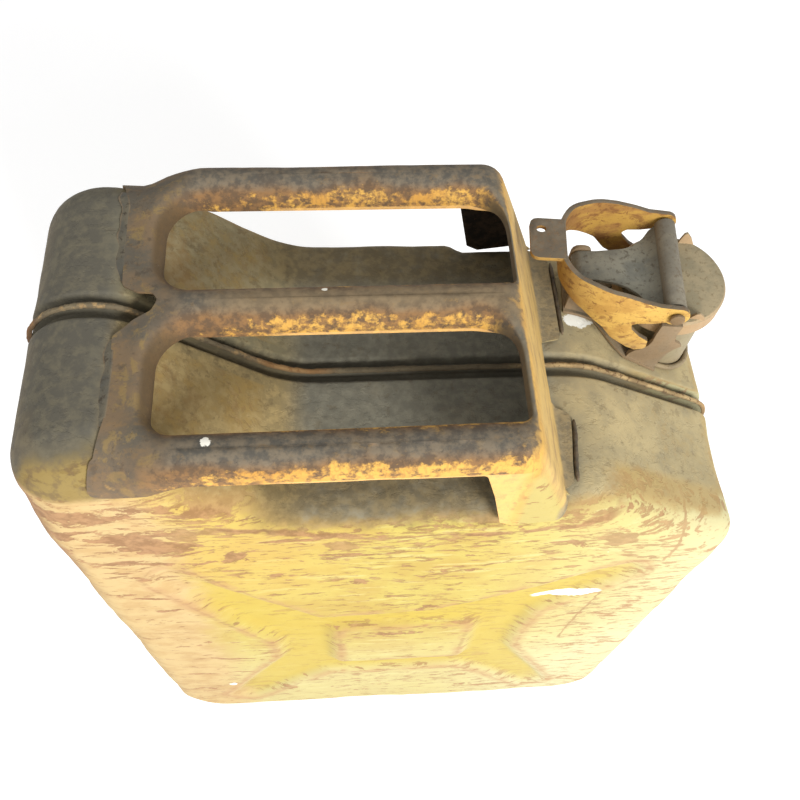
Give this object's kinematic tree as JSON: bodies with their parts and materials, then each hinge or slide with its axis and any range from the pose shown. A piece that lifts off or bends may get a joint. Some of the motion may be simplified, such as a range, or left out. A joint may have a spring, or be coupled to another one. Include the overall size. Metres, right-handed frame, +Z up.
{
  "type": "jerry can",
  "caption": "Pressed-steel fuel can with recessed weld seam, cross-pressed faces, three-bar carrying handle and a hinged spout cap held by a cam lever",
  "frame": {"origin": "on the ground under the middle of the can, the centre of the face it stands on", "axes": "X along the can with the spout end at +X, Y across it with the cap on the +Y half, Z up"},
  "size_m": [0.3486, 0.1662, 0.47],
  "materials": {
    "ochre_paint": "worn ochre-yellow paint with brown rust patches",
    "olive_paint": "dirty olive-brown weathered paint",
    "worn_handle_paint": "ochre paint worn to dark brown steel, grimy on top",
    "rusty_weld": "rust-orange weld metal",
    "grimy_steel": "dark grey-brown grimy steel",
    "pin_steel": "worn rusty steel",
    "seal_rubber": "matt black rubber",
    "orange_rust_steel": "orange-ochre rusty lever, darker on its edges"
  },
  "bodies": {
    "can": {"shell_near": "ochre_paint", "shell_far": "olive_paint", "seam_weld_bead": "rusty_weld", "handle_pressing": "worn_handle_paint", "foot_weld_near": "rusty_weld", "foot_weld_far": "rusty_weld", "shoulder_weld_near": "rusty_weld", "shoulder_weld_far": "rusty_weld", "filler_neck": "olive_paint", "neck_weld_bead": "rusty_weld", "neck_bracket": "grimy_steel", "hinge_pin": "pin_steel", "vent_pipe": "grimy_steel"},
    "cap": {"hinge_strap": "grimy_steel", "cap_shell": "grimy_steel", "cap_inner_plate": "grimy_steel", "cap_gasket": "seal_rubber", "lever_pin": "pin_steel"},
    "lever_arm": {"lever": "orange_rust_steel"}
  },
  "joints": [
    {"name": "cap_hinge", "type": "hinge", "parent": "can", "child": "cap", "pos_m": [0.09272, 0.04458, 0.4265], "axis": [-0.0958, -0.9954, 0], "range_deg": [0, 84]},
    {"name": "lever_hinge", "type": "hinge", "parent": "cap", "child": "lever_arm", "pos_m": [0.13672, 0.04034, 0.4334], "axis": [0.0958, 0.9954, 0], "range_deg": [0, 140]}
  ],
  "couplings": [
    {"joint": "cap_hinge", "follows": "lever_hinge", "ratio": 0.6}
  ]
}
